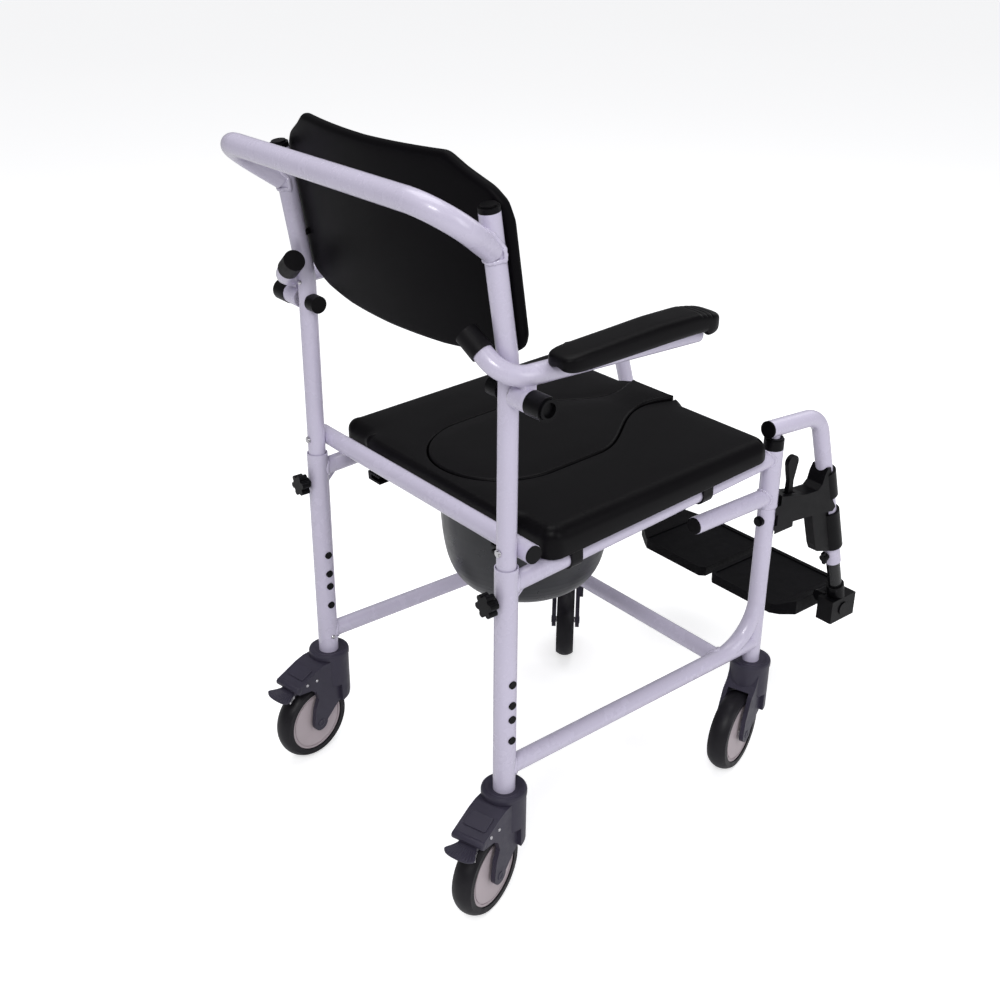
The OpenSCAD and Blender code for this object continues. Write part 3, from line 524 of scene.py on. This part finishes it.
for side_name, s in SIDES:
    for u in (62, 158):
        m = ON_BACK @ Matrix.Translation((s * (HALF_TRACK - 8), -8, u)) @ turned(90, "X")
        lathe(f"back_standoff_{side_name}_{u}", [(0.1, -2), (4, -2), (4.2, 0), (4.2, 6), (0.1, 6)], m, black,
              "back_frame")

# ---------- armrests ----------


def arm_cushion(side_name, s):
    """A rounded pad on the arm tube, lofted from superellipse sections along y."""
    n, rings = 44, []
    y0, y1 = -271.0, -23.0
    ys = sorted({y0 + (y1 - y0) * (1 - math.cos(math.pi * k / 44)) / 2 for k in range(45)}
                | {float(y) for y in np.arange(-256, -228, 1.3)})

    def curve(y, table):
        return float(np.interp(y, [a for a, _ in table], [b for _, b in table]))

    for y in ys:
        f = (y - (y0 + y1) / 2) / ((y1 - y0) / 2)
        end = max(0.0, 1 - abs(f) ** 15) ** (1 / 2.6)
        top = curve(y, [(-271, 789), (-249, 791.5), (-226, 794.5), (-170, 794), (-118, 790.5), (-52, 786.5),
                        (-23, 784)])
        low = curve(y, [(-271, 759.5), (-250, 760), (-243, 766.5), (-200, 766), (-110, 763), (-23, 761)])
        w = 23.7
        mid = (top + low) / 2 + 1.5
        ring = []
        for k in range(n):
            a = 2 * math.pi * k / n
            c, q = math.cos(a), math.sin(a)
            e = 2 / 4.0
            x = math.copysign(abs(c) ** e, c) * w * (0.25 + 0.75 * end) * (end ** 0.15 if end > 0 else 0.02)
            h = (top - mid) if q > 0 else (mid - low)
            z = mid + math.copysign(abs(q) ** e, q) * h * (0.35 + 0.65 * end) * (end ** 0.3 if end > 0 else 0.02)
            if q > 0.3:
                # Grip grooves across the front of the top
                z -= sum(0.9 * max(0.0, 1 - ((y - g) / 2.2) ** 2) for g in (-233, -241, -249))
            # A groove under the pad seats the tube
            if q < 0 and abs(x) < 12.4 and y > -255:
                z = max(z, arm_axis(y) + math.sqrt(12.6 ** 2 - x * x) - 0.2)
            ring.append((s * (268 + x), y, z))
        rings.append(ring)
    verts, faces = loft(rings)
    o = new_piece(f"arm_cushion_{side_name}", moved(verts, PLACE), faces, skin, f"arm_{side_name}")
    sub = o.modifiers.new("smooth", "SUBSURF")
    sub.levels = sub.render_levels = 1
    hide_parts(f"arm_pad_{side_name}")
    return o


def arm_axis(y):
    """Height of the arm tube's axis at y."""
    rise = 252 * math.tan(math.radians(0.9))
    return ARM_TUBE_Z + rise * (26 - y) / 278


for side_name, s in SIDES:
    arm_cushion(side_name, s)

# ---------- welds ----------
rng = np.random.default_rng(7)


def weld(name, at, run, run_r, axis, axis_r, body, bead=2.1):
    """Bead where a tube of radius run_r along run meets a tube of radius axis_r about axis, both through at."""
    u, v = Vector(run).normalized(), Vector(axis).normalized()
    e1 = (v - u * v.dot(u)).normalized()
    e2 = u.cross(e1)
    n, m = 72, 10
    centres = []
    for k in range(n):
        a = math.radians(360 * k / n)
        off = e1 * (run_r * math.cos(a)) + e2 * (run_r * math.sin(a))
        # Solve |off + t u| across axis = axis_r
        o_p, u_p = off - v * off.dot(v), u - v * u.dot(v)
        A, B, C = u_p.dot(u_p), 2 * o_p.dot(u_p), o_p.dot(o_p) - axis_r ** 2
        t = (-B + math.sqrt(max(0.0, B * B - 4 * A * C))) / (2 * A)
        centres.append((Vector(at) + off + u * t, off.normalized()))
    rings = []
    ripple = rng.uniform(-0.22, 0.22, n)
    for k in range(n):
        p, out = centres[k]
        tangent = (centres[(k + 1) % n][0] - centres[k - 1][0]).normalized()
        side_v = tangent.cross(out).normalized()
        out_v = side_v.cross(tangent).normalized()
        r = bead * (1 + 0.10 * math.sin(k * 2 * math.pi / 4) + ripple[k] * 0.5)
        turns = [2 * math.pi * j / m for j in range(m)]
        rings.append([p + out_v * (r * math.cos(q)) + side_v * (1.35 * r * math.sin(q)) for q in turns])
    verts = [PLACE @ q for r in rings for q in r]
    faces = [(k * m + j, k * m + (j + 1) % m, ((k + 1) % n) * m + (j + 1) % m, ((k + 1) % n) * m + j)
             for k in range(n) for j in range(m)]
    o = new_piece(name, verts, faces, weld_paint, body)
    return o


def rail_x(y):
    return HALF_TRACK + (HALF_TRACK - FRONT_X) * y / -FRONT_Y


LOW_CROSS_Y, SEAT_CROSS_Y = -416, -440
t_rail = math.tan(math.radians(SEAT_TILT))
lean = (0, math.sin(math.radians(BACK_LEAN)), math.cos(math.radians(BACK_LEAN)))
for side_name, s in SIDES:
    to_front = Vector((s * (FRONT_X - HALF_TRACK), FRONT_Y, -FRONT_Y * t_rail))
    low = Vector((s * (FRONT_X - HALF_TRACK), FRONT_Y, 0))
    up = (0, 0, 1)
    weld(f"weld_seat_rail_rear_{side_name}", (s * HALF_TRACK, 0, SEAT_RAIL_Z), to_front, TUBE_R, up, LEG_R,
         "frame")
    weld(f"weld_seat_rail_front_{side_name}", (s * FRONT_X, FRONT_Y, seat_z(FRONT_Y)), -to_front, TUBE_R, up,
         SLEEVE_R, "frame")
    weld(f"weld_low_rail_{side_name}", (s * HALF_TRACK, 0, LOW_RAIL_Z), low, TUBE_R, up, LEG_R, "frame")
    weld(f"weld_stub_{side_name}", (s * FRONT_X, FRONT_Y, STUB_Z), (0, 1, 0), TUBE_R, up, SLEEVE_R, "frame")
    # The rails run inwards to the front, so a crossbar's end is found at its own y
    weld(f"weld_low_cross_{side_name}", (s * rail_x(LOW_CROSS_Y), LOW_CROSS_Y, LOW_RAIL_Z), (-s, 0, 0), 12.2,
         low, TUBE_R, "frame")
    weld(f"weld_seat_cross_{side_name}", (s * rail_x(SEAT_CROSS_Y), SEAT_CROSS_Y, seat_z(SEAT_CROSS_Y) - 2),
         (-s, 0, 0), 10, to_front, TUBE_R, "frame")
    start = Vector((s * HALF_TRACK, 132 * lean[1], POST_BEND_Z + 132 * lean[2]))
    weld(f"weld_push_bar_{side_name}", start, Vector((s * 240, 108, 956)) - start, 14, lean, TUBE_R,
         "back_frame", 2.4)

# Sleeve on the front legs ends in a small fillet of paint
for side_name, s in SIDES:
    m = PLACE @ Matrix.Translation((s * FRONT_X, FRONT_Y, 431))
    lathe(f"sleeve_edge_{side_name}",
          [(12.6, -1.4), (13.4, -1.2), (14.6, 0.2), (14.9, 1.6), (14.2, 2.6), (12.6, 2.6)],
          m, weld_paint, "frame", 40)

# Rivets behind the posts at their bend, and inside the rear legs under the low rail
for side_name, s in SIDES:
    for name, at, turn, body in (("post", (s * (HALF_TRACK - 2), 12.3, 757),
                                  turned(9 * s, "Z")
                                  @ turned(-90, "X"), "back_frame"),
                                 ("leg", (s * (HALF_TRACK - 14.7), 0, 196.5),
                                  turned(-90 * s, "Y"), "frame")):
        lathe(f"rivet_{name}_{side_name}",
              [(0.1, -0.6), (3.5, -0.6), (3.5, 0.6), (3.0, 1.7), (1.8, 2.4), (0.1, 2.6)],
              PLACE @ Matrix.Translation(at) @ turn, steel, body, 24)

# ---------- casters ----------


def raised_plate(name, matrix, width, depth, radius, high, mat, body):
    """A low pad with rounded corners, standing on the matrix's XY plane."""
    path = filleted([(width / 2, depth / 2, radius), (-width / 2, depth / 2, radius),
                     (-width / 2, -depth / 2, radius), (width / 2, -depth / 2, radius)], 1.2)
    rings = [[(p[0] * (1 - 2 * inset / width), p[1] * (1 - 2 * inset / depth), z) for p in path]
             for inset, z in ((0, -0.8), (0, high - 0.5), (0.15, high - 0.15), (0.5, high), (1.4, high))]
    verts, faces = loft(rings)
    return new_piece(name, moved(verts, matrix), faces, mat, body)


def pedal(side_name, m):
    """The foot pedal: a ribbed fan on an arm that turns under the hood."""
    nu, nv = 56, 14
    verts, faces = [], []
    for layer in (0, 1):
        for j in range(nv + 1):
            v = j / nv
            for i in range(nu + 1):
                u = 2 * i / nu - 1
                x = u * (14.6 + 11.4 * v ** 1.35) * (1 - 0.13 * max(0.0, (v - 0.7) / 0.3) ** 2.2)
                y = 87 + 24.5 * v - v * (2.8 * u * u + 2.6 * u ** 8)
                z = 133.2 - 3.4 * v + 2.2 * u ** 4 * v
                edge = min(1.0, 6 * (1 - v) + 0.25, 6 * (1 - abs(u)) + 0.25)
                rib = 0.7 * math.cos(11 * math.pi * u) * min(1, 3 * v) * min(1.0, 5 * (1 - v)) * edge
                thick = (5.0 - 1.2 * v) * (0.45 + 0.55 * edge)
                verts.append((x, y, z + rib if layer == 0 else z - thick))
    row, size = nu + 1, (nu + 1) * (nv + 1)
    for j in range(nv):
        for i in range(nu):
            a = j * row + i
            quad = (a, a + 1, a + row + 1, a + row)
            faces += [quad, tuple(size + i for i in (quad[0], quad[3], quad[2], quad[1]))]
    rim = list(range(row)) + [j * row + nu for j in range(1, nv + 1)] + \
        [nv * row + i for i in range(nu - 1, -1, -1)] + [j * row for j in range(nv - 1, 0, -1)]
    faces += [(rim[k], rim[(k + 1) % len(rim)], size + rim[(k + 1) % len(rim)], size + rim[k])
              for k in range(len(rim))]
    body = f"brake_pedal_{side_name}"
    fan = new_piece(f"pedal_fan_{side_name}", moved(verts, m), faces, slate, body)
    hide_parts(f"brake_pedal_{side_name}")
    outline = [(66, 130.5), (88, 127.5), (92, 128), (92, 132.5), (88, 133.4), (70, 140), (66, 138)]
    arm_verts = [(x, y, z) for x in (-14.3, 14.3) for y, z in outline]
    k = len(outline)
    arm_faces = [tuple(range(k)), tuple(range(2 * k - 1, k - 1, -1))] + \
        [(i, (i + 1) % k, k + (i + 1) % k, k + i) for i in range(k)]
    arm = new_piece(f"pedal_arm_{side_name}", moved(arm_verts, m), arm_faces, slate, body)
    soften(arm, 1.0)
    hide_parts(f"brake_pedal_{side_name}")
    # Bright steel strips along the fan's sides
    for s in (1, -1):
        rings = []
        for v in (0.02, 0.15, 0.3, 0.45, 0.6):
            x, y = 14.6 + 11.4 * v ** 1.35, 87 + 24.5 * v - 2.8 * v
            rings.append([(s * (x + dx), y - 0.4 * dx, 131.6 - 3.4 * v + dz)
                          for dx, dz in ((-0.4, -4.4), (1.1, -4.4), (1.1, 0), (-0.4, 0))])
        strip, strip_faces = loft(rings)
        new_piece(f"pedal_strip_{side_name}_{'outer' if s > 0 else 'inner'}", moved(strip, m), strip_faces, steel,
                  body, smooth=False)


for name in CASTERS:
    m = at_caster(name)
    body = f"caster_{name}"
    # Dimpled bosses over the axle's ends
    for s in (1, -1):
        side_m = m @ Matrix.Translation((s * 24.0, TRAIL, WHEEL_R)) @ turned(90 * s, "Y")
        lathe(f"axle_boss_{name}_{'outer' if s > 0 else 'inner'}",
              [(0.1, -0.4), (6.6, -0.4), (6.4, 0.5), (5.4, 0.9), (4.4, 0.9), (3.8, 0.5), (0.1, 0.45)],
              side_m, slate, body)
    if name.startswith("rear"):
        for s in (1, -1):
            for y, z in ((48, 143), (67, 143.5)):
                side_m = m @ Matrix.Translation((s * 24.0, y, z)) @ turned(90 * s, "Y")
                lathe(f"hood_rivet_{name}_{y}_{'outer' if s > 0 else 'inner'}",
                      [(0.1, -1), (2.6, -1), (2.6, 0.4), (2.1, 1.1), (1.1, 1.5), (0.1, 1.6)], side_m, steel, body,
                      20)
        hood_m = m @ Matrix.Translation((0, 60, 154.0)) @ turned(-20.5, "X")
        raised_plate(f"hood_plate_{name}", hood_m, 34, 24, 2.5, 1.7, slate, body)
        # Rounded nose of the hood, over the pedal
        nose_m = m @ Matrix.Translation((0, 83.2, 140.3)) @ turned(90, "Y")
        lathe(f"hood_nose_{name}",
              [(0.1, -24.3), (4.4, -24.3), (5.3, -23.6), (5.7, -22.4), (5.7, 22.4), (5.3, 23.6), (4.4, 24.3),
               (0.1, 24.3)], nose_m, slate, body, 32)
        pedal(name.split("_")[1], m)

# ---------- studio ----------
bpy.ops.mesh.primitive_plane_add(size=1)
floor = bpy.context.object
floor.name = "floor"
floor.scale = (60, 60, 1)
floor.location = (0, 0, 0)
floor_paper = material("floor", (0.90, 0.90, 0.905), 0.65, vary=0.004, vary_scale=1.5, grain=None)
floor.data.materials.append(floor_paper)


def seen_by_camera(nt, camera_value, other_value, glossy_value=None):
    """A value that differs for what the camera sees directly."""
    paths = nt.nodes.new("ShaderNodeLightPath")
    out = other_value
    for ray, value in (("Is Glossy Ray", glossy_value), ("Is Camera Ray", camera_value)):
        if value is None:
            continue
        mixer = nt.nodes.new("ShaderNodeMix")
        nt.links.new(paths.outputs[ray], mixer.inputs["Factor"])
        if isinstance(out, float):
            mixer.inputs[2].default_value = out
        else:
            nt.links.new(out, mixer.inputs[2])
        mixer.inputs[3].default_value = value
        out = mixer.outputs[0]
    return out


floor_shader = floor_paper.node_tree.nodes["Principled BSDF"]
floor_shader.inputs["Emission Color"].default_value = (1, 1, 1, 1)
floor_paper.node_tree.links.new(seen_by_camera(floor_paper.node_tree, 0.56, 0.0),
                                floor_shader.inputs["Emission Strength"])

world = bpy.data.worlds.new("studio")
bpy.context.scene.world = world
world.use_nodes = True
world.node_tree.nodes["Background"].inputs["Color"].default_value = (0.97, 0.975, 1.0, 1)
world.node_tree.links.new(seen_by_camera(world.node_tree, 1.0, 0.42, 0.22),
                          world.node_tree.nodes["Background"].inputs["Strength"])


def area_light(name, at, target, size, power, color=(1, 1, 1)):
    d = bpy.data.lights.new(name, "AREA")
    d.shape = "RECTANGLE"
    d.size, d.size_y = size
    d.energy = power
    d.color = color
    o = bpy.data.objects.new(name, d)
    bpy.context.scene.collection.objects.link(o)
    o.location = at
    o.rotation_euler = (Vector(target) - Vector(at)).to_track_quat("-Z", "Y").to_euler()
    return o


area_light("key", (-2.2, 2.6, 3.4), (0, 0, 0.5), (1.3, 1.3), 62)
area_light("fill", (-3.4, -0.8, 2.0), (0, 0, 0.5), (1.6, 2.0), 26, (0.97, 0.97, 1.0))
area_light("top", (0.4, -0.2, 3.6), (0, 0, 0.4), (2.4, 2.4), 44)
area_light("rim", (0.4, -3.2, 2.6), (0, 0, 0.6), (1.6, 1.6), 9)

cam_data = bpy.data.cameras.new("camera")
cam = bpy.data.objects.new("camera", cam_data)
bpy.context.scene.collection.objects.link(cam)
FOCAL_SHARE = 1.30249
cam_data.sensor_width = 36
cam_data.lens = 36 * FOCAL_SHARE
cam_data.shift_x = 0.0155
cam_data.shift_y = -0.0029
cam.location = (-1.2737, 1.1976, 1.2730)
# The camera's own axes: it looks down at the chair from behind its right side
right = Vector((-0.62189, -0.783102, 0.002088))
upward = Vector((0.347158, -0.273298, 0.897101))
forward = Vector((0.701951, -0.558623, -0.441821))
rot = Matrix((right, upward, -forward)).transposed()
cam.rotation_euler = rot.to_euler()
bpy.context.scene.camera = cam
bpy.context.scene.view_settings.view_transform = "Standard"
bpy.context.scene.view_settings.look = "None"
